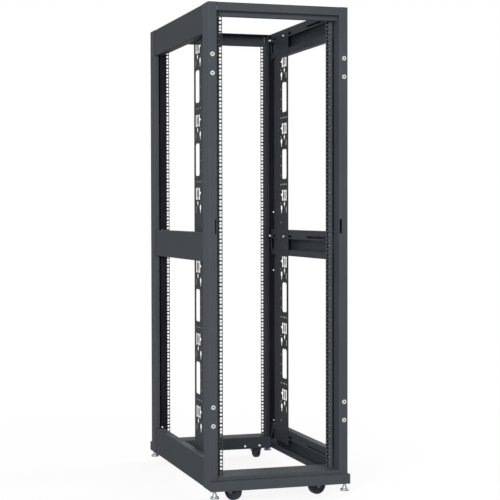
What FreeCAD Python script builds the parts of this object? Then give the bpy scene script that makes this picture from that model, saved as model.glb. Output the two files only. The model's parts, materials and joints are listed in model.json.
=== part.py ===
# A 42-unit, 19-inch, four-post open equipment rack frame on casters, with its doors, roof and side
# panels off. X runs to the right seen from the front, Y from front to rear and Z up. The origin is
# on the floor, under the middle of the frame. Sizes are millimetres.
import FreeCAD, Part
import math
import os

os.makedirs("parts", exist_ok=True)
V = FreeCAD.Vector

# Overall sizes
DEPTH = 1070.0               # over the front and rear base beams
FLOOR_GAP = 50.0             # floor to the underside of the base
UNITS = 42                   # rack units between base and top
UNIT = 44.45                 # one rack unit
TOP_RISE = 53.0              # top of unit 42 to the top of the frame
OVERHANG = 28.0              # base beams proud of the post faces, front and rear

# Folded sheet
SHEET = 2.5                  # thickness of frame members
RAIL_SHEET = 2.5             # thickness of mounting rails
PLATE_SHEET = 2.0            # thickness of accessory channels
BEND = 3.0                   # bend radius at the middle of the sheet
SIDE_SECTION = 37.0          # width in X of posts and side members
POST_DEPTH = 92.0            # depth in Y of a post
POST_RETURN = 68.0           # depth of the post's inner return
POST_LIP = 18.0              # width of the lip at the post's back edge
MEMBER_HEIGHT = 120.0        # height of every side member
UPPER_LIP = 42.0             # inner lip hanging from a side member's top
LOWER_LIP = 28.0             # inner lip standing on its bottom
MID_HEIGHT = 977.0           # underside of the mid braces above the floor

# Mounting rails
RAIL_SETBACK = 60.0          # post face to rail face
RAIL_CLEAR = 450.0           # clear width between the rails
HOLE_INSET = 7.55            # rail edge to the hole axes, which puts the columns 465.1 apart
RAIL_FLANGE = 31.0           # width of the perforated flange
RAIL_WEB = 45.0              # depth of the rail's side web
RAIL_STANDOFF = 7.0          # rail web to the inner face of the posts
RAIL_LIP_REACH = 4.0         # back lip past the inner face of the posts
LIP_ROOM = 3.0               # around a lip or flange, in the notch that it passes
HOLE = 9.5                   # square hole
HOLE_OFFSETS = (6.35, 22.225, 38.1)   # hole centres above a unit's lower edge

# Top beams
TOP_FACE = 35.0              # height of the front face
TOP_STEP_BACK = 30.0         # face to the recessed inner face
TOP_STEP_DROP = 19.0         # height of the recessed inner face
TOP_LIP = 20.0               # lip at the foot of the recessed face
TOP_BEAM_DEPTH = 80.0        # depth of the beam's top flange

# Base beams
LEDGE_HEIGHT = 40.0          # underside to the ledge that carries the posts
FRONT_BEAM_DEPTH = 165.0
REAR_BEAM_DEPTH = 130.0
FOOT_PLATE = 5.0             # plate in the base that each foot screws through

# Accessory channels
CHANNEL_WIDTH = 185.0
CHANNEL_SETBACK = 115.0      # rail face to the channel's near edge
CHANNEL_FLANGE = 12.0        # stiffening flange, folded outward at the near edge
CHANNEL_TOP_GAP = 12.0       # channel's top below the top of the frame
CHANNEL_PITCH = 309.0        # height of one module of the punched pattern
CHANNEL_MODULES = 6
CHANNEL_FIRST = 1800.0       # top of the first module above the bottom of unit 1
SLOT_WIDTH = 63.0
SLOT_HEIGHT = 137.0
SLOT_DROP = 126.0            # module top to slot top
SLOT_INSET = 100.0           # channel's near edge to the slot
SLOT_CORNER = 12.0
SLOT_MODULES = (0, 1, 3, 4)  # modules that have a slot
WINDOW_INSET = 96.0          # channel's near edge to the barred window
WINDOW_WIDTH = 67.0
WINDOW_DROP = 5.0            # module top to window top
WINDOW_HEIGHT = 50.0
BAR_WIDTH = 9.0              # of the two bars left standing in the window
BAR_MARGIN = 10.0            # window edge to the bars' ends
BAR_NECK = 3.0               # the bars' necks at both ends
ARROW_REACH = 20.0           # arrow beside the window, towards the near edge
ARROW_HEIGHT = 16.0
ARROW_DROP = 27.0
# Round holes of a module: from the channel's near edge, below the module's top, diameter
ROUND_HOLES = (
    (80.0, 66.0, 9.0),
    (132.0, 69.0, 20.0),
    (90.0, 88.0, 26.0),
    (81.0, 156.0, 9.0),
    (81.0, 200.0, 9.0),
    (81.0, 244.0, 9.0),
    (81.0, 288.0, 10.0),
    (111.0, 288.0, 10.0),
    (130.0, 288.0, 10.0),
    (156.0, 288.0, 10.0),
)
# Upright slots of a module: from the near edge, drops of the two ends, width
SHORT_SLOTS = (
    (90.0, 88.0, 114.0, 13.0),
    (157.0, 80.0, 110.0, 9.0),
    (132.0, 69.0, 86.0, 9.0),
)

# Keyhole slots in the upper inner lips of the side members
LIP_SLOT_DROP = 29.5         # member top to the slot's middle
LIP_SLOT_HEIGHT = 9.0
LIP_SLOT_START = 30.0        # back edge of the post to the slot
LIP_SLOT_LENGTH = 285.0
LIP_ROUND = 19.0
LIP_ROUND_AT = 162.0         # back edge of the post to the round hole's middle

# Door hinge bushes and latch slots in the front posts
BUSH_INSET = 17.0            # side of the frame to the bush axis
BUSH_DIAMETER = 18.0
BUSH_BORE = 7.0
BUSH_PROUD = 2.0
BUSH_HEIGHTS = (1709.5, 1633.3, 283.5, 207.3)   # above the bottom of unit 1
LATCH_INSET = 33.5
LATCH_WIDTH = 15.0
LATCH_DEPTH = 5.0
LATCH_HEIGHT = 60.0
LATCH_MIDDLE = 1014.5        # above the bottom of unit 1
POST_HOLE = 6.0              # small hole near each end of a front post's return
POST_HOLE_SETBACK = 26.0     # post face to the holes
POST_HOLE_HEIGHTS = (44.0, 1808.0)   # above the bottom of unit 1

# Levelling feet
FOOT_INSET_X = 19.0
FOOT_INSET_Y = 18.0          # end of the base to the foot axis
FOOT_LIFT = 20.0             # foot above the floor at rest
FOOT_STUD = 12.0
FOOT_DISC = 36.0
FOOT_RIM = 4.0               # straight edge of the disc
FOOT_BELL = 22.0             # where the dome meets the neck
FOOT_BELL_RISE = 10.0
FOOT_NECK = 15.0             # top of the tapered neck
FOOT_NECK_RISE = 21.0
FOOT_STUD_TOP = 78.0         # above the floor

# Casters
WHEEL_DIAMETER = 75.0
WHEEL_WIDTH = 26.0
WHEEL_EDGE = 4.0             # bevel of the tread
WHEEL_RIM = 11.0             # tread's surface to the dished side
WHEEL_DISH = 4.0             # depth of the dished side
WHEEL_HUB = 24.0
AXLE = 10.0
FORK_GAP = 3.0               # wheel face to fork plate
FORK_SHEET = 3.0
FORK_WIDTH = 44.0            # of a fork plate, along the roll direction
WHEEL_ROOM = 8.0             # tread to the underside of the fork crown
RACE_DIAMETER = 46.0
RACE_HEIGHT = 12.2
CASTER_PLATE = 4.0
CASTER_PLATE_WIDTH = 84.0
TRAIL = 22.0                 # axle behind the swivel axis
CASTER_INSET = 98.0          # side of the frame to the swivel axis
CASTER_FRONT_Y = 83.0        # front of the base to the swivel axis
CASTER_REAR_Y = 80.0         # rear of the base to the wheel axle
FRONT_TURN = {"left": 128.0, "right": 8.0}   # rest headings of the front casters
RUN_GAP = 0.3                # at pins, races and screws

# Small holes of the base
FLANGE_HOLE = 9.0
FLANGE_HOLE_X = 43.0         # from the middle of the frame
FLANGE_HOLE_SETBACK = 61.0   # end of the base to the holes

# Levels and planes worked out from the sizes above
BASE_BOTTOM = FLOOR_GAP
CROWN_HEIGHT = WHEEL_DIAMETER + WHEEL_ROOM + FORK_SHEET
UNDER_FLANGE = CROWN_HEIGHT + RACE_HEIGHT + RUN_GAP + CASTER_PLATE
UNIT_BOTTOM = UNDER_FLANGE + SHEET
UNIT_TOP = UNIT_BOTTOM + UNITS * UNIT
TOP = UNIT_TOP + TOP_RISE
LEDGE = FLOOR_GAP + LEDGE_HEIGHT
POST_FACE = DEPTH / 2 - OVERHANG
POST_BACK = POST_FACE - POST_DEPTH
RAIL_FACE = POST_FACE - RAIL_SETBACK
RAIL_BACK = RAIL_FACE - RAIL_WEB
INNER = RAIL_CLEAR / 2 + RAIL_FLANGE + RAIL_STANDOFF
SIDE = INNER + SIDE_SECTION
HOLE_COLUMN = RAIL_CLEAR / 2 + HOLE_INSET
CASTER_X = SIDE - CASTER_INSET
MEMBER_LEVELS = {"base": BASE_BOTTOM, "mid": MID_HEIGHT, "top": TOP - MEMBER_HEIGHT}


def box(x0, x1, y0, y1, z0, z1):
    """A block between two corners."""
    return Part.makeBox(x1 - x0, y1 - y0, z1 - z0, V(x0, y0, z0))


def cylinder(diameter, height, place, axis=V(0, 0, 1)):
    """A cylinder whose lower end is centred on place."""
    return Part.makeCylinder(diameter / 2, height, place, axis)


def rounded_wire(corners, radii):
    """A closed wire through the corners, each rounded by its own radius."""
    count = len(corners)
    edges = []
    ends = []
    for i, corner in enumerate(corners):
        before = (corners[i - 1] - corner).normalize()
        after = (corners[(i + 1) % count] - corner).normalize()
        if radii[i] <= 0:
            ends.append((corner, corner, None))
            continue
        half = before.getAngle(after) / 2
        reach = radii[i] / math.tan(half)
        middle = corner + (before + after).normalize() * (radii[i] / math.sin(half) - radii[i])
        ends.append((corner + before * reach, corner + after * reach, middle))
    for i, (start, end, middle) in enumerate(ends):
        if middle is not None:
            edges.append(Part.Arc(start, middle, end).toShape())
        following = ends[(i + 1) % count][0]
        if (following - end).Length > 1e-6:
            edges.append(Part.LineSegment(end, following).toShape())
    return Part.Wire(edges)


def folded_sheet(path, thickness, bend=BEND):
    """The section of a folded sheet, as a face in the XY plane, from its middle line."""
    points = [V(x, y, 0) for x, y in path]
    normals = []
    for a, b in zip(points, points[1:]):
        run = (b - a).normalize()
        normals.append(V(-run.y, run.x, 0))
    left, right = [], []
    left_radii, right_radii = [], []
    for i, point in enumerate(points):
        if i in (0, len(points) - 1):
            offset = normals[min(i, len(normals) - 1)] * (thickness / 2)
            turn = 0.0
        else:
            first, second = normals[i - 1], normals[i]
            offset = (first + second) * (thickness / 2 / (1 + first.dot(second)))
            turn = first.cross(second).z
        left.append(point + offset)
        right.append(point - offset)
        near, far = bend - thickness / 2, bend + thickness / 2
        left_radii.append(0 if turn == 0 else (near if turn > 0 else far))
        right_radii.append(0 if turn == 0 else (far if turn > 0 else near))
    corners = left + right[::-1]
    radii = left_radii + right_radii[::-1]
    return Part.Face(rounded_wire(corners, radii))


def upright(face, low, high):
    """An XY section drawn up between two heights."""
    solid = face.extrude(V(0, 0, high - low))
    solid.translate(V(0, 0, low))
    return solid


def along_depth(face, low, high):
    """A section drawn in X and Z, here as X and Y, run from front to rear."""
    solid = face.extrude(V(0, 0, high - low))
    solid.rotate(V(0, 0, 0), V(1, 0, 0), 90)
    solid.translate(V(0, high, 0))
    return solid


def along_width(face, low, high):
    """A section drawn in Y and Z, here as X and Y, run from left to right."""
    solid = face.extrude(V(0, 0, high - low))
    solid.rotate(V(0, 0, 0), V(1, 0, 0), 90)
    solid.rotate(V(0, 0, 0), V(0, 0, 1), 90)
    solid.translate(V(low, 0, 0))
    return solid


def mirrored(shape, left_right=False, front_rear=False):
    """The shape copied to the other side, the other end or both."""
    if left_right:
        shape = shape.mirror(V(0, 0, 0), V(1, 0, 0))
    if front_rear:
        shape = shape.mirror(V(0, 0, 0), V(0, 1, 0))
    return shape


def cut_all(shape, tools):
    """The shape less every tool."""
    return shape.cut(Part.makeCompound(tools)) if tools else shape


def save(name, shape):
    """Writes one node after a test that its solids are sound."""
    if not shape.isValid():
        raise ValueError(name + " is not a valid solid")
    shape.exportStep("parts/" + name + ".step")


def corner_post():
    """A front left post: side wall, face, inner return, back lip and top cap."""
    half = SHEET / 2
    path = [
        (-SIDE + POST_LIP, -POST_BACK - half),
        (-SIDE + half, -POST_BACK - half),
        (-SIDE + half, -POST_FACE + half),
        (-INNER - half, -POST_FACE + half),
        (-INNER - half, -POST_FACE + POST_RETURN),
    ]
    post = upright(folded_sheet(path, SHEET), LEDGE, TOP)
    cap = box(-SIDE + SHEET, -INNER - SHEET, -POST_FACE + SHEET, -POST_BACK - SHEET, TOP - SHEET, TOP)
    return post.fuse(cap).removeSplitter()


def front_post_cuts():
    """The latch slot, bush holes and small end holes of the front left post."""
    middle = UNIT_BOTTOM + LATCH_MIDDLE
    x = -SIDE + LATCH_INSET
    cuts = [
        box(
            x - LATCH_WIDTH / 2,
            x + LATCH_WIDTH / 2,
            -POST_FACE - SHEET,
            -POST_FACE + LATCH_DEPTH,
            middle - LATCH_HEIGHT / 2,
            middle + LATCH_HEIGHT / 2,
        )
    ]
    for height in BUSH_HEIGHTS:
        place = V(-SIDE + BUSH_INSET, -POST_FACE - SHEET, UNIT_BOTTOM + height)
        cuts.append(cylinder(BUSH_BORE, 3 * SHEET, place, V(0, 1, 0)))
    for height in POST_HOLE_HEIGHTS:
        place = V(-INNER - 2 * SHEET, -POST_FACE + POST_HOLE_SETBACK, UNIT_BOTTOM + height)
        cuts.append(cylinder(POST_HOLE, 3 * SHEET, place, V(1, 0, 0)))
    return cuts


def hinge_bushes():
    """Four door hinge bushes on the face of the front left post."""
    solids = []
    for height in BUSH_HEIGHTS:
        place = V(-SIDE + BUSH_INSET, -POST_FACE - BUSH_PROUD, UNIT_BOTTOM + height)
        ring = cylinder(BUSH_DIAMETER, BUSH_PROUD, place, V(0, 1, 0))
        solids.append(ring.cut(cylinder(BUSH_BORE, BUSH_PROUD, place, V(0, 1, 0))))
    return Part.makeCompound(solids)


def lip_slots(middle):
    """The two keyhole slots of a left side member's upper inner lip, cut through along X."""
    x = -INNER - 2 * SHEET
    through = 3 * SHEET
    cuts = []
    for end in (-1, 1):
        start = POST_BACK - LIP_SLOT_START
        y0, y1 = sorted((end * (start - LIP_SLOT_LENGTH), end * start))
        round_y = end * (POST_BACK - LIP_ROUND_AT)
        half = LIP_SLOT_HEIGHT / 2
        cuts.append(box(x, x + through, y0 + half, y1 - half, middle - half, middle + half))
        for y in (y0 + half, y1 - half):
            cuts.append(cylinder(LIP_SLOT_HEIGHT, through, V(x, y, middle), V(1, 0, 0)))
        cuts.append(cylinder(LIP_ROUND, through, V(x, round_y, middle), V(1, 0, 0)))
    return cuts


def rail_notches(low, high):
    """Cuts at the two ends of a left side member, where the back lips of the rails pass."""
    x0, x1 = -INNER - RAIL_LIP_REACH - LIP_ROOM, -INNER + LIP_ROOM
    room = (low - LIP_ROOM, high + LIP_ROOM)
    return [
        box(x0, x1, RAIL_BACK, POST_BACK + LIP_ROOM, *room),
        box(x0, x1, -POST_BACK - LIP_ROOM, -RAIL_BACK, *room),
    ]


def side_member(low):
    """A left side member: outer web, two flanges and two inner lips, the upper one slotted."""
    half = SHEET / 2
    high = low + MEMBER_HEIGHT
    path = [
        (-INNER - half, low + LOWER_LIP),
        (-INNER - half, low + half),
        (-SIDE + half, low + half),
        (-SIDE + half, high - half),
        (-INNER - half, high - half),
        (-INNER - half, high - UPPER_LIP),
    ]
    member = along_depth(folded_sheet(path, SHEET), -POST_BACK, POST_BACK)
    return cut_all(member, lip_slots(high - LIP_SLOT_DROP) + rail_notches(low, high))


def mounting_rail():
    """The front left rail: perforated flange, side web and back lip, with three holes a unit."""
    half = RAIL_SHEET / 2
    inner_edge = -RAIL_CLEAR / 2
    outer_edge = inner_edge - RAIL_FLANGE
    path = [
        (inner_edge, -RAIL_FACE + half),
        (outer_edge + half, -RAIL_FACE + half),
        (outer_edge + half, -RAIL_BACK - half),
        (-INNER - RAIL_LIP_REACH, -RAIL_BACK - half),
    ]
    rail = upright(folded_sheet(path, RAIL_SHEET), UNIT_BOTTOM, UNIT_TOP)
    holes = []
    for unit in range(UNITS):
        for offset in HOLE_OFFSETS:
            z = UNIT_BOTTOM + unit * UNIT + offset
            x = -HOLE_COLUMN
            holes.append(
                box(
                    x - HOLE / 2,
                    x + HOLE / 2,
                    -RAIL_FACE - RAIL_SHEET,
                    -RAIL_FACE + 2 * RAIL_SHEET,
                    z - HOLE / 2,
                    z + HOLE / 2,
                )
            )
    return cut_all(rail, holes)


def top_beam():
    """The top front beam: top flange, face, step back, recessed inner face and its lip."""
    half = SHEET / 2
    face = -POST_FACE
    path = [
        (face + TOP_BEAM_DEPTH, TOP - half),
        (face + half, TOP - half),
        (face + half, TOP - TOP_FACE + half),
        (face + TOP_STEP_BACK, TOP - TOP_FACE + half),
        (face + TOP_STEP_BACK, TOP - TOP_FACE - TOP_STEP_DROP + half),
        (face + TOP_STEP_BACK + TOP_LIP, TOP - TOP_FACE - TOP_STEP_DROP + half),
    ]
    return along_width(folded_sheet(path, SHEET), -INNER, INNER)


def base_beam(depth):
    """The front base beam: a pan open below, with a ledge for the posts and plates for the feet."""
    front = -DEPTH / 2
    back = front + depth

    def pan(inset, floor):
        low = box(-SIDE + inset, SIDE - inset, front + inset, -POST_BACK - inset, floor, LEDGE - inset)
        high = box(
            -INNER + inset, INNER - inset, -POST_FACE + inset, back - inset, floor, UNIT_BOTTOM - inset
        )
        return low.fuse(high)

    beam = pan(0, BASE_BOTTOM).cut(pan(SHEET, BASE_BOTTOM - SHEET))
    for x in (-SIDE, INNER):
        beam = beam.fuse(
            box(x, x + SIDE_SECTION, front, -POST_BACK, BASE_BOTTOM, BASE_BOTTOM + FOOT_PLATE)
        )
    bores = []
    for x, y in foot_places():
        bores.append(cylinder(FOOT_STUD + 2 * RUN_GAP, BASE_BOTTOM + 2 * FOOT_PLATE, V(x, y, 0)))
    for x in (-FLANGE_HOLE_X, FLANGE_HOLE_X):
        place = V(x, front + FLANGE_HOLE_SETBACK, UNIT_BOTTOM - 2 * SHEET)
        bores.append(cylinder(FLANGE_HOLE, 3 * SHEET, place))
    return cut_all(beam, bores).removeSplitter()


def foot_places():
    """The axes of the two front levelling feet."""
    x = SIDE - FOOT_INSET_X
    y = -DEPTH / 2 + FOOT_INSET_Y
    return [(-x, y), (x, y)]


def levelling_foot(x, y):
    """A threaded stud on a bell-shaped foot, turned as one profile."""
    low = FOOT_LIFT
    rim = V(FOOT_DISC / 2, 0, low + FOOT_RIM)
    shoulder = V(FOOT_BELL / 2, 0, low + FOOT_BELL_RISE)
    crown = V(rim.x - (rim.x - shoulder.x) / 4, 0, shoulder.z - (shoulder.z - rim.z) / 3)
    neck = V(FOOT_NECK / 2, 0, low + FOOT_NECK_RISE)
    corners = [neck, V(FOOT_STUD / 2, 0, neck.z), V(FOOT_STUD / 2, 0, FOOT_STUD_TOP)]
    corners += [V(0, 0, FOOT_STUD_TOP), V(0, 0, low), V(rim.x, 0, low), rim]
    edges = [Part.Arc(rim, crown, shoulder).toShape(), Part.LineSegment(shoulder, neck).toShape()]
    edges += [Part.LineSegment(a, b).toShape() for a, b in zip(corners, corners[1:])]
    foot = Part.Face(Part.Wire(edges)).revolve(V(0, 0, 0), V(0, 0, 1), 360)
    foot.translate(V(x, y, 0))
    return foot


def wheel():
    """A caster wheel about the Y axis through the origin, with dished sides and a bore."""
    half = WHEEL_WIDTH / 2
    tread = cylinder(WHEEL_DIAMETER, WHEEL_WIDTH, V(0, -half, 0), V(0, 1, 0))
    tread = tread.makeChamfer(WHEEL_EDGE, [e for e in tread.Edges if len(e.Vertexes) == 1])
    bore = cylinder(AXLE + 2 * RUN_GAP, WHEEL_WIDTH, V(0, -half, 0), V(0, 1, 0))
    dish = []
    for y in (-half, half - WHEEL_DISH):
        ring = cylinder(WHEEL_DIAMETER - 2 * WHEEL_RIM, WHEEL_DISH, V(0, y, 0), V(0, 1, 0))
        dish.append(ring.cut(cylinder(WHEEL_HUB, WHEEL_DISH, V(0, y, 0), V(0, 1, 0))))
    return tread.cut(bore).cut(Part.makeCompound(dish))


def fork(trail):
    """A caster fork rolling along X, its swivel axis on the origin and its axle at X = -trail."""
    axle_z = WHEEL_DIAMETER / 2
    inner = WHEEL_WIDTH / 2 + FORK_GAP
    outer = inner + FORK_SHEET
    lobe = [
        V(-trail + AXLE, 0, axle_z),
        V(-trail, 0, axle_z - AXLE),
        V(-trail - AXLE, 0, axle_z),
    ]
    shoulders = [V(-FORK_WIDTH / 2, 0, CROWN_HEIGHT), V(FORK_WIDTH / 2, 0, CROWN_HEIGHT)]
    outline = Part.Wire(
        [
            Part.LineSegment(shoulders[0], shoulders[1]).toShape(),
            Part.LineSegment(shoulders[1], lobe[0]).toShape(),
            Part.Arc(lobe[0], lobe[1], lobe[2]).toShape(),
            Part.LineSegment(lobe[2], shoulders[0]).toShape(),
        ]
    )
    plate = Part.Face(outline).extrude(V(0, FORK_SHEET, 0))
    plates = []
    for y in (-outer, inner):
        copy = plate.copy()
        copy.translate(V(0, y, 0))
        plates.append(copy)
    crown = box(-FORK_WIDTH / 2, FORK_WIDTH / 2, -outer, outer, CROWN_HEIGHT - FORK_SHEET, CROWN_HEIGHT)
    axle = cylinder(AXLE, 2 * outer, V(-trail, -outer, axle_z), V(0, 1, 0))
    return crown.fuse(plates + [axle])


def swivel_fork():
    """A front fork with the race that turns under the caster's top plate."""
    race = cylinder(RACE_DIAMETER, RACE_HEIGHT, V(0, 0, CROWN_HEIGHT))
    return fork(TRAIL).fuse(race).removeSplitter()


def fixed_fork():
    """A rear fork whose blocks reach the underside of the base."""
    block = box(
        -FORK_WIDTH / 2,
        FORK_WIDTH / 2,
        -WHEEL_WIDTH / 2 - FORK_GAP - FORK_SHEET,
        WHEEL_WIDTH / 2 + FORK_GAP + FORK_SHEET,
        CROWN_HEIGHT,
        UNDER_FLANGE - CASTER_PLATE,
    )
    plate = box(
        -CASTER_PLATE_WIDTH / 2,
        CASTER_PLATE_WIDTH / 2,
        -CASTER_PLATE_WIDTH / 2,
        CASTER_PLATE_WIDTH / 2,
        UNDER_FLANGE - CASTER_PLATE,
        UNDER_FLANGE,
    )
    return fork(0.0).fuse([block, plate]).removeSplitter()


def caster_plate(x, y):
    """The bolted top plate of a front caster, under the base beam's flange."""
    half = CASTER_PLATE_WIDTH / 2
    return box(x - half, x + half, y - half, y + half, UNDER_FLANGE - CASTER_PLATE, UNDER_FLANGE)


def turned(shape, degrees, x, y):
    """The shape turned about Z on the origin, then moved to a place."""
    copy = shape.copy()
    copy.rotate(V(0, 0, 0), V(0, 0, 1), degrees)
    copy.translate(V(x, y, 0))
    return copy


def module_cuts(near, top, slotted):
    """The punched pattern of one channel module, cut through the left channel along X."""
    x = -INNER - PLATE_SHEET
    through = 3 * PLATE_SHEET

    def window(y0, y1, z0, z1):
        return box(x, x + through, y0, y1, z0, z1)

    def round_hole(y, z, diameter):
        return cylinder(diameter, through, V(x, y, z), V(1, 0, 0))

    def upright_slot(y, high, low, width):
        half = width / 2
        middle = window(y - half, y + half, low + half, high - half)
        return middle.fuse([round_hole(y, high - half, width), round_hole(y, low + half, width)])

    y0 = near + WINDOW_INSET
    y1 = y0 + WINDOW_WIDTH
    z1 = top - WINDOW_DROP
    z0 = z1 - WINDOW_HEIGHT
    bars = []
    for third in (1, 2):
        y = y0 + WINDOW_WIDTH * third / 3
        bars.append(
            window(y - BAR_WIDTH / 2, y + BAR_WIDTH / 2, z0 + BAR_MARGIN, z1 - BAR_MARGIN)
        )
        bars.append(window(y - BAR_NECK / 2, y + BAR_NECK / 2, z0, z1))
    barred = window(y0, y1, z0, z1).cut(Part.makeCompound(bars))
    tip = top - ARROW_DROP
    arrow = Part.makePolygon(
        [
            V(x, y0, tip + ARROW_HEIGHT / 2),
            V(x, y0 - ARROW_REACH, tip),
            V(x, y0, tip - ARROW_HEIGHT / 2),
            V(x, y0, tip + ARROW_HEIGHT / 2),
        ]
    )
    cuts = [barred, Part.Face(arrow).extrude(V(through, 0, 0))]
    for inset, drop, diameter in ROUND_HOLES:
        cuts.append(round_hole(near + inset, top - drop, diameter))
    for inset, high, low, width in SHORT_SLOTS:
        cuts.append(upright_slot(near + inset, top - high, top - low, width))
    if slotted:
        high = top - SLOT_DROP
        slot = window(
            near + SLOT_INSET, near + SLOT_INSET + SLOT_WIDTH, high - SLOT_HEIGHT, high
        )
        slot = slot.makeFillet(
            SLOT_CORNER, [e for e in slot.Edges if abs(e.tangentAt(e.FirstParameter).x) > 0.9]
        )
        cuts.append(slot)
    return cuts


def accessory_channel():
    """The left channel: a plate with the punched pattern of tool-less mounts, folded at one edge."""
    near = -RAIL_FACE + CHANNEL_SETBACK
    far = near + CHANNEL_WIDTH
    half = PLATE_SHEET / 2
    outer = -INNER + half
    path = [
        (outer - CHANNEL_FLANGE, near + half),
        (outer, near + half),
        (outer, far),
    ]
    channel = upright(folded_sheet(path, PLATE_SHEET, BEND), UNIT_BOTTOM, TOP - CHANNEL_TOP_GAP)
    cuts = []
    for low in MEMBER_LEVELS.values():
        cuts.append(
            box(
                -INNER - CHANNEL_FLANGE - LIP_ROOM,
                -INNER,
                near - LIP_ROOM,
                near + BEND + LIP_ROOM,
                low - LIP_ROOM,
                low + MEMBER_HEIGHT + LIP_ROOM,
            )
        )
    for module in range(CHANNEL_MODULES):
        top = UNIT_BOTTOM + CHANNEL_FIRST - module * CHANNEL_PITCH
        cuts += module_cuts(near, top, module in SLOT_MODULES)
    return cut_all(channel, cuts)


def build():
    """Makes every node and writes it."""
    post = corner_post()
    front_post = cut_all(post, front_post_cuts())
    save("front_left_post", front_post)
    save("front_right_post", mirrored(front_post, left_right=True))
    save("rear_left_post", mirrored(post, front_rear=True))
    save("rear_right_post", mirrored(post, left_right=True, front_rear=True))

    bushes = hinge_bushes()
    save("left_hinge_bushes", bushes)
    save("right_hinge_bushes", mirrored(bushes, left_right=True))

    for level, low in MEMBER_LEVELS.items():
        member = side_member(low)
        save(level + "_left_side_member", member)
        save(level + "_right_side_member", mirrored(member, left_right=True))

    rail = mounting_rail()
    save("front_left_mounting_rail", rail)
    save("front_right_mounting_rail", mirrored(rail, left_right=True))
    save("rear_left_mounting_rail", mirrored(rail, front_rear=True))
    save("rear_right_mounting_rail", mirrored(rail, left_right=True, front_rear=True))

    beam = top_beam()
    save("top_front_beam", beam)
    save("top_rear_beam", mirrored(beam, front_rear=True))
    save("base_front_beam", base_beam(FRONT_BEAM_DEPTH))
    save("base_rear_beam", mirrored(base_beam(REAR_BEAM_DEPTH), front_rear=True))

    channel = accessory_channel()
    save("left_accessory_channel", channel)
    save("right_accessory_channel", mirrored(channel, left_right=True, front_rear=True))

    for side, (x, y) in zip(("left", "right"), foot_places()):
        save("front_" + side + "_levelling_foot", levelling_foot(x, y))
        save("rear_" + side + "_levelling_foot", levelling_foot(x, -y))

    axle_z = WHEEL_DIAMETER / 2
    front_y = -DEPTH / 2 + CASTER_FRONT_Y
    rear_y = DEPTH / 2 - CASTER_REAR_Y
    for side, x in (("left", -CASTER_X), ("right", CASTER_X)):
        turn = FRONT_TURN[side]
        save("front_" + side + "_caster_plate", caster_plate(x, front_y))
        save("front_" + side + "_caster_fork", turned(swivel_fork(), turn, x, front_y))
        front_wheel = wheel()
        front_wheel.translate(V(-TRAIL, 0, axle_z))
        save("front_" + side + "_caster_wheel", turned(front_wheel, turn, x, front_y))
        save("rear_" + side + "_caster_fork", turned(fixed_fork(), 90, x, rear_y))
        rear_wheel = wheel()
        rear_wheel.translate(V(0, 0, axle_z))
        save("rear_" + side + "_caster_wheel", turned(rear_wheel, 90, x, rear_y))


build()
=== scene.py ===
# %% [markdown]
# # An open 42-unit rack frame
# The object is a tall four-post frame of folded, powder-coated steel. Its doors, roof and side
# panels are off, so what shows is the bare frame: posts, side members, four punched mounting
# rails, two tall punched channels, two casters at each end and four levelling feet.
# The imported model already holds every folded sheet, so this script dresses it: it gives each
# sheet its finish and adds what is too small for the source, such as screws and marks.

# %% Load the frame
import json
import math

import bmesh
import bpy
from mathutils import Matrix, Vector


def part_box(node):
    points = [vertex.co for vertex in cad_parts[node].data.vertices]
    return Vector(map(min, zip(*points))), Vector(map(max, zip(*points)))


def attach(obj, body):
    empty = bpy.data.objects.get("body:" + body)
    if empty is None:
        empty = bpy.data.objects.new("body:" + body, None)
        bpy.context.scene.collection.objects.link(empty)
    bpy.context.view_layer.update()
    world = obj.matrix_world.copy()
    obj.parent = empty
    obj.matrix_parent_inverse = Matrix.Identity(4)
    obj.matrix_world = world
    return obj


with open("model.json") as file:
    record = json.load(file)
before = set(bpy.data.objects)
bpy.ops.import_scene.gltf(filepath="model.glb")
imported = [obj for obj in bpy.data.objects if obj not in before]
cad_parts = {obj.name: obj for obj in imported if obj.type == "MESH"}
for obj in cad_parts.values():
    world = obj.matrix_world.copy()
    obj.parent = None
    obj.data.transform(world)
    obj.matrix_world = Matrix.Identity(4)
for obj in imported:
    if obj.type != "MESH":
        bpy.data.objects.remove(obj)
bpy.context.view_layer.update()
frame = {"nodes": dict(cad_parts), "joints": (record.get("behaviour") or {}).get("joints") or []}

MM = 0.001

nodes = frame["nodes"]
bpy.context.scene.view_settings.view_transform = "Standard"

# %% [markdown]
# ## The camera
# The photograph was taken from about six metres away and a little left of the frame, with a
# long lens, so its upright lines stay almost parallel. A perspective camera is placed at the
# same spot and turned by plain angles, in radians. A target constraint would also work, but
# three angles are easier to check against the picture.

# %% Camera
EYE = Vector((-1.8057, -5.8915, 1.1760))
TURN_RIGHT = 0.3024
TILT_DOWN = 0.0268
ROLL = 0.0018
FOCAL_PIXELS = 1387.75
FRAME_PIXELS = 500
SENSOR = 36.0
FARTHEST = 200.0

camera_data = bpy.data.cameras.new("camera")
camera_data.sensor_width = SENSOR
camera_data.lens = FOCAL_PIXELS / FRAME_PIXELS * SENSOR
camera_data.clip_end = FARTHEST
camera = bpy.data.objects.new("camera", camera_data)
camera.location = EYE
camera.rotation_euler = (math.pi / 2 - TILT_DOWN, ROLL, -TURN_RIGHT)
bpy.context.collection.objects.link(camera)
bpy.context.scene.camera = camera
print("lens:", round(camera_data.lens, 2), "mm")

# %% [markdown]
# ## Shader maths in plain Python
# A material is a graph of nodes joined by sockets. It could be drawn by hand in the node
# editor, but a script can build it again and again, and is easier to compare. Written node
# by node it would be hard to read, so this small class wraps a socket: `mask * 0.5 + 0.2`
# then adds its Math nodes by itself. Colours must not pass through Math nodes, which turn
# them grey, so a helper further down mixes them.


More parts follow.
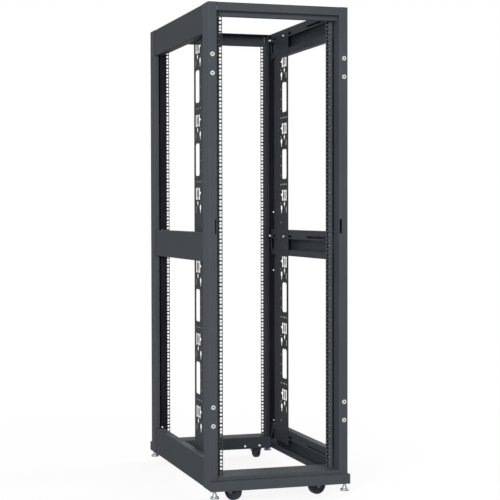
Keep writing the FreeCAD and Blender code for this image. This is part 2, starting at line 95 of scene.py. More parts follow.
# %% Socket arithmetic
class Value:
    """A socket that can be used in arithmetic."""

    def __init__(self, tree, socket):
        self.tree = tree
        self.socket = socket

    def math(self, operation, *others):
        return maths(self.tree, operation, self, *others)

    def __add__(self, other):
        return self.math("ADD", other)

    def __sub__(self, other):
        return self.math("SUBTRACT", other)

    def __mul__(self, other):
        return self.math("MULTIPLY", other)

    def __truediv__(self, other):
        return self.math("DIVIDE", other)

    def __rsub__(self, other):
        return maths(self.tree, "SUBTRACT", other, self)

    def __rtruediv__(self, other):
        return maths(self.tree, "DIVIDE", other, self)

    __radd__ = __add__
    __rmul__ = __mul__

    def above(self, edge, width):
        """0 below the edge, rising to 1 over the width."""
        return ((self - edge) / width).math("MINIMUM", 1.0).math("MAXIMUM", 0.0)

    def also(self, output):
        """Another output of the same node."""
        return Value(self.tree, self.socket.node.outputs[output])


def connect(tree, place, item):
    """Links a wrapped socket to an input, or sets the input to a constant."""
    if isinstance(item, Value):
        tree.links.new(item.socket, place)
    elif item is not None:
        place.default_value = item


def maths(tree, operation, *items):
    """A Math node on sockets and numbers, in the order given."""
    node = tree.nodes.new("ShaderNodeMath")
    node.operation = operation
    for place, item in zip(node.inputs, items):
        connect(tree, place, item)
    return Value(tree, node.outputs[0])


print("operators ready: + - * / and their reflected forms")

# %% [markdown]
# ## One method for every other node
# Finishes, patterns and the white backdrop are all graphs, and each of their nodes needs the
# same steps: add it, set it up, join its sockets. One method does this for all of them, so a
# node is one call that names its kind and what goes into it. The settings are made first,
# because some, such as a mixer's kind of data, change which sockets the node has.


# %% Graph class
class Graph:
    """A node tree, with one method that adds any node."""

    def __init__(self, tree):
        self.tree = tree

    def add(self, kind, inputs=None, settings=None, output=0):
        """A node: its type, its sockets' values or links, its settings, the output used."""
        node = self.tree.nodes.new(kind)
        for key, value in (settings or {}).items():
            setattr(node, key, value)
        for socket, item in (inputs or {}).items():
            connect(self.tree, node.inputs[socket], item)
        return Value(self.tree, node.outputs[output])


print("graph class ready")

# %% [markdown]
# ## What every finish shares
# Paint, plating and polymer all come from the same few nodes: soft clouds of noise, a mix of
# two colours, a bump and the way a surface faces. They could be picture textures, but those
# need a map on every folded sheet. Noise in the object's own space fits any shape and runs
# on over edges, so each finish is written as a short sum of such nodes.

# %% Finish class
# A Mix node holds the sockets of all its kinds of data. These are the ones for colours.
MIX_SHARE, MIX_FIRST, MIX_SECOND, MIX_COLOUR = 0, 6, 7, 2


class Finish(Graph):
    """One material, with short names for the nodes that it uses often."""

    def __init__(self, name, **constants):
        self.material = bpy.data.materials.new(name)
        self.material.use_nodes = True
        super().__init__(self.material.node_tree)
        self.shader = next(n for n in self.tree.nodes if n.type == "BSDF_PRINCIPLED")
        self.feed(**constants)

    def feed(self, **inputs):
        """Leads values into the shader. An underscore stands for a space in its name."""
        for socket, item in inputs.items():
            connect(self.tree, self.shader.inputs[socket.replace("_", " ")], item)

    def place(self):
        return self.add("ShaderNodeTexCoord", output="Object")

    def noise(self, scale, detail=2.0, roughness=0.5, distortion=0.0):
        return self.add(
            "ShaderNodeTexNoise",
            {
                "Vector": self.place(),
                "Scale": scale,
                "Detail": detail,
                "Roughness": roughness,
                "Distortion": distortion,
            },
        )

    def upward(self):
        """1 on a surface that looks up, 0 on a wall and -1 on an underside."""
        facing = self.add("ShaderNodeNewGeometry", output="Normal")
        return self.add("ShaderNodeSeparateXYZ", {"Vector": facing}, output="Z")

    def blend(self, share, first, second):
        """A colour that goes from the first to the second as the share goes from 0 to 1."""
        return self.add(
            "ShaderNodeMix",
            {MIX_SHARE: share, MIX_FIRST: first, MIX_SECOND: second},
            {"data_type": "RGBA"},
            output=MIX_COLOUR,
        )

    def bump(self, height, strength, distance):
        """Shading as if the surface rose and fell with the height."""
        return self.add(
            "ShaderNodeBump", {"Height": height, "Strength": strength, "Distance": distance}
        )


print("finish class ready")

# %% [markdown]
# ## Powder coat
# Powder coat is paint baked on as a dry dust. It flows into a fine pebble, called orange
# peel, and its sheen varies softly from place to place. A plain colour would look like
# plastic, so noise moves the tone, the roughness and the pebble, and upward faces go paler
# in patches, partly from pale dust and partly as painted top light. The frame has one
# charcoal, but its parts look different: side members and channels stand in the frame's own
# shade, and the sheet behind the rails lies in deep shade and reads as black. Each of these
# kinds of sheet therefore gets a deeper pair of tones, as painted shade.

# %% Powder coat
CHARCOAL = (0.046, 0.052, 0.060, 1.0)
CHARCOAL_WORN = (0.055, 0.061, 0.069, 1.0)
# Painted shade: a near-black coat for the straps behind the rails and for the shadow lines.
BLACK_PAINTED_SHADE = (0.007, 0.008, 0.010, 1.0)
BLACK_PAINTED_SHADE_WORN = (0.013, 0.014, 0.017, 1.0)
# Deeper tones of the one charcoal, painted shade for the punched channels and the side members.
CHANNEL_SHADED = (0.028, 0.032, 0.037, 1.0)
CHANNEL_SHADED_WORN = (0.034, 0.038, 0.043, 1.0)
SIDE_SHADED = (0.032, 0.037, 0.043, 1.0)
SIDE_SHADED_WORN = (0.039, 0.044, 0.050, 1.0)
# A pale tone for dust on upward faces, partly painted top light.
DUST_AND_TOP_LIGHT = (0.22, 0.24, 0.27, 1.0)
COAT_WEAR = 0.6
COAT_ROUGHNESS = 0.42


def powder_coat(name, clean, worn, dust_and_top_light):
    finish = Finish(name, Metallic=0.0, IOR=1.25, Specular_IOR_Level=0.08)
    clouds = finish.noise(scale=5.0, detail=4.0, roughness=0.55)
    grain = finish.noise(scale=900.0, detail=1.0)
    pebble = finish.noise(scale=420.0)
    level = finish.upward().above(edge=0.6, width=0.3)
    # Upward faces go paler in patches: partly dust, partly painted top light.
    dust_and_top_light_share = level * clouds.above(edge=0.35, width=0.4) * dust_and_top_light
    coat = finish.blend(clouds.above(edge=0.35, width=0.3) * COAT_WEAR, clean, worn)
    finish.feed(
        Base_Color=finish.blend(dust_and_top_light_share, coat, DUST_AND_TOP_LIGHT),
        Roughness=clouds * 0.12 + grain * 0.06 + COAT_ROUGHNESS,
        Normal=finish.bump(pebble, strength=0.18, distance=0.4 * MM),
    )
    return finish.material


coat_material = powder_coat("charcoal_powder_coat", CHARCOAL, CHARCOAL_WORN, dust_and_top_light=0.10)
shade_material = powder_coat("black_inner_coat", BLACK_PAINTED_SHADE, BLACK_PAINTED_SHADE_WORN, dust_and_top_light=0.02)
channel_shaded_material = powder_coat("channel_coat", CHANNEL_SHADED, CHANNEL_SHADED_WORN, dust_and_top_light=0.10)
side_shaded_material = powder_coat("side_member_coat", SIDE_SHADED, SIDE_SHADED_WORN, dust_and_top_light=0.40)
for made in (coat_material, shade_material, channel_shaded_material, side_shaded_material):
    print("made", made.name)

# %% [markdown]
# ## Zinc plate
# Screws, bolts and threads are plated with a thin layer of zinc: bright, a little uneven,
# with a faint crystal pattern. The hinge bushes have the same plating with an olive cast. A
# clean metal would only mirror the white room, so a Voronoi texture gives the crystals, and
# clouds of noise dull them here and there. One function makes both, from two pairs of
# colours.

# %% Zinc plate
ZINC = (0.88, 0.88, 0.86, 1.0)
ZINC_DULL = (0.68, 0.68, 0.66, 1.0)
OLIVE_ZINC = (0.68, 0.69, 0.58, 1.0)
OLIVE_ZINC_DULL = (0.46, 0.47, 0.37, 1.0)
ZINC_ROUGHNESS = 0.28


def zinc_plate(name, clean, worn):
    finish = Finish(name, Metallic=0.85, IOR=1.5)
    clouds = finish.noise(scale=60.0, detail=3.0, roughness=0.6)
    crystals = finish.add(
        "ShaderNodeTexVoronoi", {"Vector": finish.place(), "Scale": 700.0}, output="Distance"
    )
    dull = clouds.above(edge=0.48, width=0.25) * 0.5 + crystals * 0.2
    finish.feed(
        Base_Color=finish.blend(dull, clean, worn),
        Roughness=dull * 0.2 + ZINC_ROUGHNESS,
        Normal=finish.bump(crystals, strength=0.08, distance=0.2 * MM),
    )
    return finish.material


zinc_material = zinc_plate("bright_zinc_plate", ZINC, ZINC_DULL)
bush_material = zinc_plate("olive_zinc_plate", OLIVE_ZINC, OLIVE_ZINC_DULL)
print("made", zinc_material.name, "and", bush_material.name)

# %% [markdown]
# ## The feet's plating
# The levelling feet are turned parts with smooth bright plating. In a white room a true
# mirror burns out to white, while the real feet show dark bands of shade under their rims. So
# the shader is only partly metallic, and its colour is darkened where the surface faces down,
# as painted shade.

# %% Plated feet
CHROME = (0.30, 0.32, 0.36, 1.0)
CHROME_PAINTED_SHADE = (0.045, 0.050, 0.060, 1.0)
UNDERSIDE_SHADE = 0.9
FOOT_ROUGHNESS = 0.30


def chrome_plate(name):
    finish = Finish(name, Metallic=0.3, IOR=1.5)
    # Painted shade: the colour darkens where the surface faces down.
    painted_underside_shade = 1.0 - finish.upward().above(edge=-0.15, width=0.35)
    clouds = finish.noise(scale=90.0, detail=3.0)
    finish.feed(
        Base_Color=finish.blend(painted_underside_shade * UNDERSIDE_SHADE, CHROME, CHROME_PAINTED_SHADE),
        Roughness=clouds * 0.1 + FOOT_ROUGHNESS,
    )
    return finish.material


chrome_material = chrome_plate("chromed_foot")
print("made", chrome_material.name)

# %% [markdown]
# ## Painted forks, hard treads and dull nuts
# The caster forks are pressed steel in a smooth black paint that scuffs through in small
# patches. The treads are a hard dull polymer that picks up dust, and the axle nuts are
# steel without plating. All three sit low and small, so a cloud of noise and one more
# texture each are enough: distorted noise for the scuffs, fine specks for the tread.

# %% Black steel, tread and nuts
BLACK_STEEL = (0.050, 0.053, 0.061, 1.0)
BLACK_STEEL_WORN = (0.090, 0.094, 0.104, 1.0)
TREAD = (0.016, 0.019, 0.025, 1.0)
TREAD_DUSTY = (0.034, 0.037, 0.045, 1.0)
NUT_DARK = (0.10, 0.10, 0.11, 1.0)
NUT_LIGHT = (0.26, 0.26, 0.27, 1.0)
STEEL_ROUGHNESS = 0.25
TREAD_ROUGHNESS = 0.5
NUT_ROUGHNESS = 0.35


def black_steel(name):
    finish = Finish(name, Metallic=0.0, IOR=1.4, Specular_IOR_Level=0.3)
    clouds = finish.noise(scale=40.0, detail=4.0, roughness=0.6)
    smears = finish.noise(scale=160.0, detail=5.0, roughness=0.7, distortion=0.6)
    scuffs = smears.above(edge=0.60, width=0.08)
    finish.feed(
        Base_Color=finish.blend(scuffs * 0.6, BLACK_STEEL, BLACK_STEEL_WORN),
        Roughness=clouds * 0.15 + scuffs * 0.1 + STEEL_ROUGHNESS,
        Normal=finish.bump(clouds, strength=0.10, distance=0.3 * MM),
    )
    return finish.material


def tread(name):
    finish = Finish(name, Metallic=0.0, IOR=1.4, Specular_IOR_Level=0.3)
    clouds = finish.noise(scale=50.0, detail=4.0, roughness=0.6)
    specks = finish.noise(scale=500.0, roughness=0.6)
    dusty = clouds.above(edge=0.45, width=0.3) * 0.6
    finish.feed(
        Base_Color=finish.blend(dusty, TREAD, TREAD_DUSTY),
        Roughness=clouds * 0.2 + TREAD_ROUGHNESS,
        Normal=finish.bump(specks, strength=0.2, distance=0.4 * MM),
    )
    return finish.material


def dull_nut(name):
    finish = Finish(name, Metallic=0.8)
    clouds = finish.noise(scale=200.0, detail=3.0, roughness=0.6)
    finish.feed(
        Base_Color=finish.blend(clouds, NUT_DARK, NUT_LIGHT),
        Roughness=clouds * 0.2 + NUT_ROUGHNESS,
    )
    return finish.material


steel_material = black_steel("black_painted_steel")
tread_material = tread("hard_black_tread")
nut_material = dull_nut("dull_nut_steel")
print("made", steel_material.name, tread_material.name, "and", nut_material.name)

# %% [markdown]
# ## Dressing the imported nodes
# On the real frame every part leaves the paint line or the plating bath on its own, so one
# part has one finish. A node here keeps its mesh and only gets another material in its
# slot. Each node could be named one by one, but the end of its name already says what it
# is, so a short table of words is enough. What isn't in the table has the charcoal coat.

# %% Give each node its finish
# Side members and channels keep the one charcoal paint, but in deeper copies that are painted
# shade.
FINISH_OF_WORD = {
    "side_member": side_shaded_material,
    "channel": channel_shaded_material,
    "bushes": bush_material,
    "foot": chrome_material,
    "fork": steel_material,
    "plate": steel_material,
    "wheel": tread_material,
}


def finish_of(name):
    for word, finish in FINISH_OF_WORD.items():
        if name.endswith(word):
            return finish
    return coat_material


for name, obj in nodes.items():
    for slot in obj.material_slots:
        slot.material = finish_of(name)
    if not obj.material_slots:
        obj.data.materials.append(finish_of(name))
print("dressed", len(nodes), "nodes")

# %% [markdown]
# ## Patterns from Geometry Nodes
# Screws, printed ticks and threads repeat, so a small node tree makes each of them from a
# few points. Copies made in a Python loop would work too, but a tree holds one shape with
# named sizes, and a change of a size reaches every copy. The class below builds such a tree,
# runs it on the points of one piece at a time and keeps the result as a plain mesh, because
# the finished piece must not carry a live modifier.


# %% Pattern class
class Pattern(Graph):
    """A Geometry Nodes tree with named sizes, that turns points into one plain mesh."""

    def __init__(self, name, **sizes):
        super().__init__(bpy.data.node_groups.new(name, "GeometryNodeTree"))
        self.sizes = sizes
        self.names = {}
        panel = self.tree.interface
        panel.new_socket("Points", in_out="INPUT", socket_type="NodeSocketGeometry")
        for size, value in sizes.items():
            kind = "NodeSocketInt" if isinstance(value, int) else "NodeSocketFloat"
            socket = panel.new_socket(size, in_out="INPUT", socket_type=kind)
            self.names[size] = socket.identifier
        coat = panel.new_socket("Finish", in_out="INPUT", socket_type="NodeSocketMaterial")
        self.names["Finish"] = coat.identifier
        panel.new_socket("Shape", in_out="OUTPUT", socket_type="NodeSocketGeometry")
        self.inlet = self.tree.nodes.new("NodeGroupInput")
        self.outlet = self.tree.nodes.new("NodeGroupOutput")

    def size(self, name):
        return Value(self.tree, self.inlet.outputs[name])

    def join(self, *parts):
        node = self.tree.nodes.new("GeometryNodeJoinGeometry")
        for part in parts:
            self.tree.links.new(part.socket, node.inputs[0])
        return Value(self.tree, node.outputs[0])

    def lift(self, shape, height):
        """A shape moved along its own Z axis."""
        up = self.add("ShaderNodeCombineXYZ", {"Z": height})
        return self.add("GeometryNodeTransform", {"Geometry": shape, "Translation": up})

    def on_points(self, shape, turned=True):
        """One copy of a shape on every point, its Z axis along the point's facing."""
        turn = None
        if turned:
            facing = self.add(
                "GeometryNodeInputNamedAttribute",
                {"Name": "facing"},
                {"data_type": "FLOAT_VECTOR"},
            )
            turn = self.add(
                "FunctionNodeAlignRotationToVector", {"Vector": facing}, {"axis": "Z"}
            )
        return self.add(
            "GeometryNodeInstanceOnPoints",
            {"Points": self.size("Points"), "Instance": shape, "Rotation": turn},
        )

    def close(self, shape):
        """Ends the tree: the copies become real faces and get their finish."""
        real = self.add("GeometryNodeRealizeInstances", {"Geometry": shape})
        coated = self.add(
            "GeometryNodeSetMaterial", {"Geometry": real, "Material": self.size("Finish")}
        )
        self.tree.links.new(coated.socket, self.outlet.inputs[0])

    def make(self, piece, body, slot, finish, places, **changes):
        """Runs the tree on places, a list of (point, facing), and keeps a plain mesh."""
        mesh = bpy.data.meshes.new(piece + "_points")
        mesh.from_pydata([Vector(at) for at, _ in places], [], [])
        facing = mesh.attributes.new("facing", "FLOAT_VECTOR", "POINT")
        for item, (_, way) in zip(facing.data, places):
            item.vector = way
        obj = bpy.data.objects.new(piece, mesh)
        bpy.context.collection.objects.link(obj)
        modifier = obj.modifiers.new("pattern", "NODES")
        modifier.node_group = self.tree
        for size, value in {**self.sizes, **changes}.items():
            modifier[self.names[size]] = value
        modifier[self.names["Finish"]] = finish
        depsgraph = bpy.context.evaluated_depsgraph_get()
        result = bpy.data.meshes.new_from_object(obj.evaluated_get(depsgraph))
        result.name = piece
        obj.modifiers.remove(modifier)
        obj.data = result
        bpy.data.meshes.remove(mesh)
        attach(obj, body)
        triangles = sum(len(face.vertices) - 2 for face in result.polygons)
        print(piece, "on", body, "-", len(places), "places,", triangles, "triangles")


print("pattern class ready")

# %% [markdown]
# ## Cutting a flat sheet
# A flat part is cut from sheet steel along one closed outline. A box with its steps cut away
# by booleans would also do, but an outline needs only the corners that the shape has. The
# helper below lays the outline down twice, a sheet's thickness apart, and closes it with a
# wall for every edge and a cap on either side.


# %% Sheet from an outline
def sheet_from_outline(piece, outline, y_low, y_high):
    """A flat closed sheet across Y, from its outline as (x, z) points going round once."""
    count = len(outline)
    points = [(x, y, z) for y in (y_low, y_high) for x, z in outline]
    walls = [(i, (i + 1) % count, (i + 1) % count + count, i + count) for i in range(count)]
    caps = [tuple(reversed(range(count))), tuple(range(count, 2 * count))]
    mesh = bpy.data.meshes.new(piece)
    mesh.from_pydata(points, [], walls + caps)
    shape = bmesh.new()
    shape.from_mesh(mesh)
    bmesh.ops.recalc_face_normals(shape, faces=shape.faces)
    shape.to_mesh(mesh)
    shape.free()
    obj = bpy.data.objects.new(piece, mesh)
    bpy.context.collection.objects.link(obj)
    return obj


print("sheet helper ready")

# %% [markdown]
# ## Straps behind the mounting rails
# Each rail is held by a flat strap that lies against its back lip and carries the screws.
# It is narrow where it passes a side member and wide between them, so its outline steps in
# at every member. The members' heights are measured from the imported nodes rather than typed
# in, so the steps stay where the members are.

# %% Strap outline
LEVELS = ("base", "mid", "top")
STRAP_NARROW = 261.8 * MM
STRAP_WIDE = 278.0 * MM
STRAP_TOP = 2008.0 * MM
MEMBER_ROOM = 0.5 * MM

member_spans = []
for level in LEVELS:
    low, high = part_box(level + "_left_side_member")
    member_spans.append((low.z, high.z))
strap_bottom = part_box("front_left_mounting_rail")[0].z


def strap_outline(sign, inner):
    """Up the outer edge, stepping in at each side member, then down the inner edge."""
    outer = [(STRAP_NARROW, strap_bottom)]
    for (_, below), (above, _) in zip(member_spans, member_spans[1:]):
        low, high = below + MEMBER_ROOM, above - MEMBER_ROOM
        outer += [(STRAP_NARROW, low), (STRAP_WIDE, low)]
        outer += [(STRAP_WIDE, high), (STRAP_NARROW, high)]
    outer += [(STRAP_NARROW, STRAP_TOP), (inner, STRAP_TOP), (inner, strap_bottom)]
    return [(sign * x, z) for x, z in outer]


print("a strap's outline has", len(strap_outline(1, STRAP_NARROW)), "corners")

# %% [markdown]
# The front straps lie behind their rails and the rear straps in front of theirs, so that
# both pairs look into the frame. Their near-black coat is painted shade, so the holes and gaps
# in front of them read as dark. A loop over the ends and sides makes all four from the same
# outline.

# %% Four straps
# Each side of the frame with its sign along X, and each end with the way in along Y.
SIDES = {"left": -1, "right": 1}
INWARD = {"front": 1, "rear": -1}
STRAP = 2.5 * MM
STRAP_INNER = {"front": 244.5 * MM, "rear": 252.0 * MM}

strap_faces = {}
for end, inward in INWARD.items():
    for side, sign in SIDES.items():
        low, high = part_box(end + "_" + side + "_mounting_rail")
        back = high.y if end == "front" else low.y
        face = back + inward * STRAP
        strap = sheet_from_outline(
            end + "_" + side + "_rail_strap",
            strap_outline(sign, STRAP_INNER[end]),
            min(back, face),
            max(back, face),
        )
        # The strap's near-black coat is painted shade behind the rail's holes.
        strap.data.materials.append(shade_material)
        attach(strap, "frame")
        strap_faces[end, side] = face
print("straps:", len(strap_faces), "at Y", [round(y, 4) for y in strap_faces.values()])

# %% [markdown]
# ## Screws
# Bright socket screws hold the rails' straps and the punched channels to the frame. A screw
# here is a low washer, a tapered head and a round socket. The socket could be a dark spot in
# the material, but made by insetting the head's top face and pushing it down it is real
# geometry and casts a shadow. Each screw is one instance on a point that knows which way its
# head looks.

# %% Screw pattern
ROUND = 24
HEAD_TOP = 0.42
SOCKET_SHARE = 0.55
LEVEL_ENOUGH = 0.9

screw = Pattern(
    "screw",
    Washer=14.0 * MM,
    Washer_Height=1.2 * MM,
    Head=10.0 * MM,
    Head_Height=4.0 * MM,
    Socket_Depth=2.4 * MM,
    Sides=ROUND,
)
washer = screw.add(
    "GeometryNodeMeshCylinder",
    {
        "Vertices": ROUND,
        "Radius": screw.size("Washer") * 0.5,
        "Depth": screw.size("Washer_Height"),
    },
    {"fill_type": "NGON"},
)
washer = screw.lift(washer, screw.size("Washer_Height") * 0.5)
cone = screw.add(
    "GeometryNodeMeshCone",
    {
        "Vertices": screw.size("Sides"),
        "Radius Top": screw.size("Head") * HEAD_TOP,
        "Radius Bottom": screw.size("Head") * 0.5,
        "Depth": screw.size("Head_Height"),
    },
    {"fill_type": "NGON"},
)
facing = screw.add("GeometryNodeInputNormal")
upward = screw.add("ShaderNodeSeparateXYZ", {"Vector": facing}, output="Z")
inset = screw.add(
    "GeometryNodeExtrudeMesh",
    {
        "Mesh": cone,
        "Selection": upward.math("GREATER_THAN", LEVEL_ENOUGH),
        "Offset Scale": 0.0,
    },
)
ring = screw.add(
    "GeometryNodeScaleElements",
    {"Geometry": inset, "Selection": inset.also("Top"), "Scale": SOCKET_SHARE},
)
head = screw.add(
    "GeometryNodeExtrudeMesh",
    {
        "Mesh": ring,
        "Selection": inset.also("Top"),
        "Offset Scale": screw.size("Socket_Depth") * -1.0,
    },
)
head = screw.lift(head, screw.size("Washer_Height"))
screw.close(screw.on_points(screw.join(washer, head)))
print("screw tree:", len(screw.tree.nodes), "nodes")

# %% [markdown]
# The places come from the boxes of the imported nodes, so that the screws follow the frame.
# Straps and channels are screwed on just under the top edge of the middle and the top side
# members, and four more screws sit in the rear base beam. All of them are one piece, since
# they share a body and a finish.

# %% Rail, channel and beam screws
LIP_DROP = 31.0 * MM
RAIL_SCREW_X = 257.2 * MM
CHANNEL_SCREW_Y = 207.5 * MM
BEAM_SCREWS = ((204.6 * MM, 64.4 * MM), (131.8 * MM, 63.6 * MM))

heights = [high - LIP_DROP for _, high in member_spans[1:]]
screw_places = []
for (end, side), face in strap_faces.items():
    x = SIDES[side] * RAIL_SCREW_X
    screw_places += [((x, face, z), (0, INWARD[end], 0)) for z in heights]
for side, sign in SIDES.items():
    low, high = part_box(side + "_accessory_channel")
    web = high.x if side == "left" else low.x
    y = sign * CHANNEL_SCREW_Y
    screw_places += [((web, y, z), (-sign, 0, 0)) for z in heights]
beam_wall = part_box("base_rear_beam")[0].y
for x, z in BEAM_SCREWS:
    screw_places += [((sign * x, beam_wall, z), (0, -1, 0)) for sign in SIDES.values()]
screw.make(
    "rail_and_channel_screws",
    "frame",
    "zinc",
    zinc_material,
    screw_places,
    Washer=10.4 * MM,
    Head=8.4 * MM,
)

# %% [markdown]
# A few smaller screws sit near the outer edge of the rear straps, where the strap is wide.
# They follow no rule, so their heights are written down. The same tree makes them with
# smaller sizes.

# %% Strap edge screws
EDGE_SCREW_X = 273.8 * MM
EDGE_HEIGHTS = {"left": (176.0 * MM,), "right": (183.0 * MM, 902.5 * MM, 1179.5 * MM)}

edge_places = []
for side, sign in SIDES.items():
    face = strap_faces["rear", side]
    edge_places += [((sign * EDGE_SCREW_X, face, z), (0, -1, 0)) for z in EDGE_HEIGHTS[side]]
screw.make(
    "strap_edge_screws",
    "frame",
    "zinc",
    zinc_material,
    edge_places,
    Washer=7.0 * MM,
    Head=5.5 * MM,
    Head_Height=2.5 * MM,
    Socket_Depth=1.2 * MM,
)

# %% [markdown]
# ## Caster fixings
# Each caster hangs from four hex bolts through its plate. A hex head is the same pattern
# with six sides and a shallow socket, so no new tree is needed. At the front the plate is a
# node of its own, and at the rear it is the top of the fixed fork.

# %% Caster bolts
HEX = 6
PLATE_HOLE_PITCH = 62.0 * MM
PLATE = 4.0 * MM
PLATE_NODE = {"front": "_caster_plate", "rear": "_caster_fork"}

bolt_places = []
for end, ending in PLATE_NODE.items():
    for side in SIDES:
        low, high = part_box(end + "_" + side + ending)
        middle = (low + high) / 2
        for dx in (-0.5, 0.5):
            for dy in (-0.5, 0.5):
                x = middle.x + dx * PLATE_HOLE_PITCH
                y = middle.y + dy * PLATE_HOLE_PITCH
                bolt_places.append(((x, y, high.z - PLATE), (0, 0, -1)))
screw.make(
    "caster_plate_bolts",
    "frame",
    "zinc",
    zinc_material,
    bolt_places,
    Sides=HEX,
    Head=12.0 * MM,
    Head_Height=5.0 * MM,
    Socket_Depth=0.4 * MM,
)

# %% [markdown]
# A wheel runs on an axle with a nut at each end, just outside the fork. The joint of the
# wheel already knows its middle and its direction, so the nuts are placed from it. The nuts
# of a front caster turn with its fork, so each fork gets a piece of its own, while the fixed
# rear forks share one.

# %% Axle nuts
FORK_HALF = 19.0 * MM
NUT_SIZES = {
    "Sides": HEX,
    "Washer": 14.0 * MM,
    "Head": 11.0 * MM,
    "Head_Height": 6.0 * MM,
    "Socket_Depth": 1.0 * MM,
}
joints = {joint["name"]: joint for joint in frame["joints"]}


def axle_ends(end, side):
    """The places of a wheel's two nuts, on either side of its fork."""
    joint = joints[end + "_" + side + "_wheel_spin"]
    middle = Vector(joint["pos_m"])
    way = Vector(joint["axis"]).normalized()
    return [(middle + way * sign * FORK_HALF, way * sign) for sign in (-1, 1)]


for side in SIDES:
    screw.make(
        "front_" + side + "_axle_nuts",
        "front_" + side + "_caster",
        "caster_steel",
        nut_material,
        axle_ends("front", side),
        **NUT_SIZES,
    )
screw.make(
    "rear_axle_nuts",
    "frame",
    "caster_steel",
    nut_material,
    axle_ends("rear", "left") + axle_ends("rear", "right"),
    **NUT_SIZES,
)

# %% [markdown]
# ## Printed ticks on the front rails
# A mounting rail carries a fine pale print beside its holes: a long tick where one unit ends
# and the next begins, and a short one at the unit's middle hole. A print could be a mask in
# the rail's material, but a thin bar keeps a sharp edge from any distance. It is a tenth of
# a millimetre thick, thin enough to read as paint and thick enough not to flicker.

# %% Print paint and tick pattern
PRINT = 0.12 * MM
PRINT_FADED = (0.26, 0.27, 0.29, 1.0)
PRINT_FRESH = (0.48, 0.49, 0.51, 1.0)
PRINT_ROUGHNESS = 0.5


def print_paint(name):
    finish = Finish(name, Metallic=0.0, IOR=1.45)
    solid = finish.noise(scale=1800.0, roughness=0.6).above(edge=0.35, width=0.3)
    finish.feed(
        Base_Color=finish.blend(solid, PRINT_FADED, PRINT_FRESH),
        Roughness=solid * 0.1 + PRINT_ROUGHNESS,
    )
    return finish.material


print_material = print_paint("pale_print")
tick = Pattern("tick", Long=5.0 * MM, Thick=1.5 * MM)
bar_size = tick.add(
    "ShaderNodeCombineXYZ", {"X": tick.size("Long"), "Y": tick.size("Thick"), "Z": PRINT}
)
tick.close(tick.on_points(tick.add("GeometryNodeMeshCube", {"Size": bar_size})))
print("made", print_material.name, "and the tick tree of", len(tick.tree.nodes), "nodes")

# %% [markdown]
# The ticks start at the rail's foot and repeat every rack unit, 44.45 mm. Long and short
# ticks are two pieces, because they are two sizes of the same tree.

# %% Unit ticks
UNIT = 44.45 * MM
UNITS = 42
TICK_X = 240.5 * MM

long_ticks, short_ticks = [], []
for side, sign in SIDES.items():
    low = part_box("front_" + side + "_mounting_rail")[0]
    y = low.y - PRINT / 2
    for unit in range(UNITS):
        z = low.z + unit * UNIT
        if unit:
            long_ticks.append(((sign * TICK_X, y, z), (0, -1, 0)))
        short_ticks.append(((sign * TICK_X, y, z + UNIT / 2), (0, -1, 0)))
tick.make("unit_ticks", "frame", "powder_coat", print_material, long_ticks)
tick.make(
    "unit_middle_ticks",
    "frame",
    "powder_coat",
    print_material,
    short_ticks,
    Long=2.6 * MM,
    Thick=1.4 * MM,
)

# %% [markdown]
# ## Shadow lines on the side members
# Near its rear end each side member shows a dark upright line, the shade in a gap where one
# sheet tucks behind the next. A cut would need another fold in the source for a line that is
# hardly seen, so the tick pattern lays a black bar of painted shade into the outer face
# instead, almost flush with it. One piece holds the left and the right line of a member.

# %% Side member shadow lines
SHADOW_LINE_Y = 419.0 * MM
SHADOW_LINE_WIDTH = 13.0 * MM
SHADOW_LINE_IN = 0.04 * MM
SHADOW_LINE_SHORT = 1.0 * MM
OUTER_FACE = 300.0 * MM

for level, (low, high) in zip(LEVELS, member_spans):
    x = OUTER_FACE - SHADOW_LINE_IN
    z = (low + high) / 2
    # Each bar is painted shade, in the near-black coat.
    tick.make(
        level + "_member_seams",
        "frame",
        "powder_coat",
        shade_material,
        [((sign * x, SHADOW_LINE_Y, z), (sign, 0, 0)) for sign in SIDES.values()],
        Long=high - low - SHADOW_LINE_SHORT,
        Thick=SHADOW_LINE_WIDTH,
    )

# %% [markdown]
# ## Threads
# The levelling studs are threaded. A bump in the material would give a smooth outline, and
# a thread shows best in outline. A spiral curve swept with a three-sided profile gives a
# true ridge for about two thousand triangles, and each thread turns with its own foot.

# %% Stud threads
STUD = 12.0 * MM
THREAD_PITCH = 1.75 * MM
THREAD_DEPTH = 0.8 * MM
THREAD_START = 24.0 * MM
THREAD_END = 2.0 * MM
STEPS_A_TURN = 18
RIDGE_SIDES = 3

thread = Pattern("thread", Length=50.0 * MM, Turns=28.0)
spiral = thread.add(
    "GeometryNodeCurveSpiral",
    {
        "Resolution": STEPS_A_TURN,
        "Rotations": thread.size("Turns"),
        "Start Radius": STUD / 2,
        "End Radius": STUD / 2,
        "Height": thread.size("Length"),
    },
)
edge = thread.add(
    "GeometryNodeCurvePrimitiveCircle", {"Resolution": RIDGE_SIDES, "Radius": THREAD_DEPTH}
)
ridge = thread.add(
    "GeometryNodeCurveToMesh", {"Curve": spiral, "Profile Curve": edge, "Fill Caps": True}
)
thread.close(thread.on_points(ridge, turned=False))

for end in INWARD:
    for side in SIDES:
        low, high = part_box(end + "_" + side + "_levelling_foot")
        middle = (low + high) / 2
        start = low.z + THREAD_START
        length = high.z - start - THREAD_END
        thread.make(
            end + "_" + side + "_stud_thread",
            end + "_" + side + "_foot",
            "zinc",
            zinc_material,
            [((middle.x, middle.y, start), (0, 0, 1))],
            Length=length,
            Turns=length / THREAD_PITCH,
        )

# %% [markdown]
# ## A white ground
# The photograph has a pure white ground with hardly a shadow. A white floor under lamps is
# never quite white, and it fades with distance. So the shader of the floor and of the world
# is mixed with a plain white glow, which only the camera and mirror rays meet, while the
# light that reaches the frame comes from the shader underneath.

# %% White for the camera
# The sockets of a Mix Shader: how much of the glow, the shader below it, and the glow.
GLOW_SHARE, BELOW, GLOW = 0, 1, 2


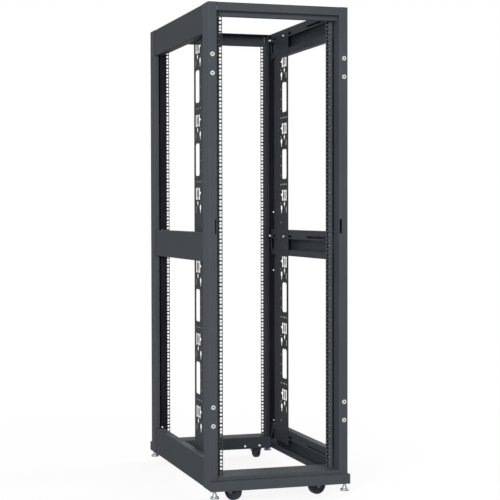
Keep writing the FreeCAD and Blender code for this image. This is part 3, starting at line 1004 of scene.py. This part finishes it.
def white_for_camera(graph, shader, share):
    """Mixes a white glow over a shader, for camera, mirror and see-through rays."""
    camera_ray = graph.add("ShaderNodeLightPath", output="Is Camera Ray")
    seen = camera_ray.math("MAXIMUM", camera_ray.also("Is Glossy Ray"))
    seen = seen.math("MAXIMUM", camera_ray.also("Is Transmission Ray"))
    white = graph.add("ShaderNodeEmission", {"Strength": 1.0})
    return graph.add(
        "ShaderNodeMixShader", {GLOW_SHARE: seen * share, BELOW: shader, GLOW: white}
    )


print("backdrop helper ready")

# %% [markdown]
# Near the frame the floor keeps a small share of its lit surface, so a soft contact shadow
# stays under the casters. That share fades out with distance, so no horizon shows. Light
# that bounces off the floor is held back by a grey, or the undersides would glow.

# %% Floor
FLOOR_HALF = 30.0
FLOOR_ROUGHNESS = 0.9
FLOOR_WHITE = (0.98, 0.98, 0.98, 1.0)
BOUNCE_GREY = (0.25, 0.25, 0.25, 1.0)
SHADOW_SHARE = 0.12
SHADOW_EDGE = 1.0
SHADOW_FADE = 1.6

corners = [
    (across * FLOOR_HALF, along * FLOOR_HALF, 0)
    for across, along in ((-1, -1), (1, -1), (1, 1), (-1, 1))
]
floor_mesh = bpy.data.meshes.new("floor")
floor_mesh.from_pydata(corners, [], [(0, 1, 2, 3)])
floor = bpy.data.objects.new("floor", floor_mesh)
bpy.context.collection.objects.link(floor)
floor_finish = Finish("white_floor", Roughness=FLOOR_ROUGHNESS)
seen_directly = floor_finish.add("ShaderNodeLightPath", output="Is Camera Ray")
floor_finish.feed(Base_Color=floor_finish.blend(seen_directly, BOUNCE_GREY, FLOOR_WHITE))
distance = floor_finish.add(
    "ShaderNodeVectorMath",
    {"Vector": floor_finish.place()},
    {"operation": "LENGTH"},
    output="Value",
)
share = distance.above(SHADOW_EDGE, SHADOW_FADE) * SHADOW_SHARE + (1.0 - SHADOW_SHARE)
lit = Value(floor_finish.tree, floor_finish.shader.outputs[0])
surface = next(n for n in floor_finish.tree.nodes if n.type == "OUTPUT_MATERIAL")
connect(
    floor_finish.tree,
    surface.inputs["Surface"],
    white_for_camera(floor_finish, lit, share),
)
floor_mesh.materials.append(floor_finish.material)
print("floor laid")

# %% [markdown]
# ## The room's light
# A studio has white walls that send a weak even light from all sides. Walls could be built,
# but the world's background does the same with less to compute. It lights the frame with a
# dim grey and shows as white behind it.

# %% World
WORLD_GREY = (0.8, 0.8, 0.8, 1.0)
WORLD_LIGHT = 0.38

world = bpy.data.worlds.new("studio")
bpy.context.scene.world = world
world.use_nodes = True
world.node_tree.nodes.clear()
sky = Graph(world.node_tree)
dim = sky.add("ShaderNodeBackground", {"Color": WORLD_GREY, "Strength": WORLD_LIGHT})
out = sky.tree.nodes.new("ShaderNodeOutputWorld")
connect(sky.tree, out.inputs["Surface"], white_for_camera(sky, dim, 1.0))
print("world at", WORLD_LIGHT)

# %% [markdown]
# ## Lamps
# In the photograph the faces that look at the viewer are the lightest, and the left side is
# a little darker. One large soft box at the front left gives that. Two weaker ones, at the
# right and behind, light the top and the sides that the camera doesn't see, so that the
# frame can be looked at from there as well. Large boxes give soft edges. Sun lamps would
# draw hard stripes through the holes.


# %% Lamps
def lamp(name, place, aim_height, size, watts):
    """A square soft box at a place, facing the frame's middle line at a height."""
    data = bpy.data.lights.new(name, "AREA")
    data.shape = "SQUARE"
    data.size = size
    data.energy = watts
    obj = bpy.data.objects.new(name, data)
    obj.location = place
    aim = Vector((0, 0, aim_height)) - Vector(place)
    obj.rotation_euler = aim.to_track_quat("-Z", "Y").to_euler()
    bpy.context.collection.objects.link(obj)
    print(name, "lamp of", watts, "W")


lamp("key", (-3.3, -6.0, 2.3), aim_height=1.0, size=3.2, watts=640)
lamp("right", (5.0, 1.5, 3.0), aim_height=1.2, size=3.0, watts=160)
lamp("back", (1.5, 5.0, 4.5), aim_height=1.0, size=3.0, watts=90)
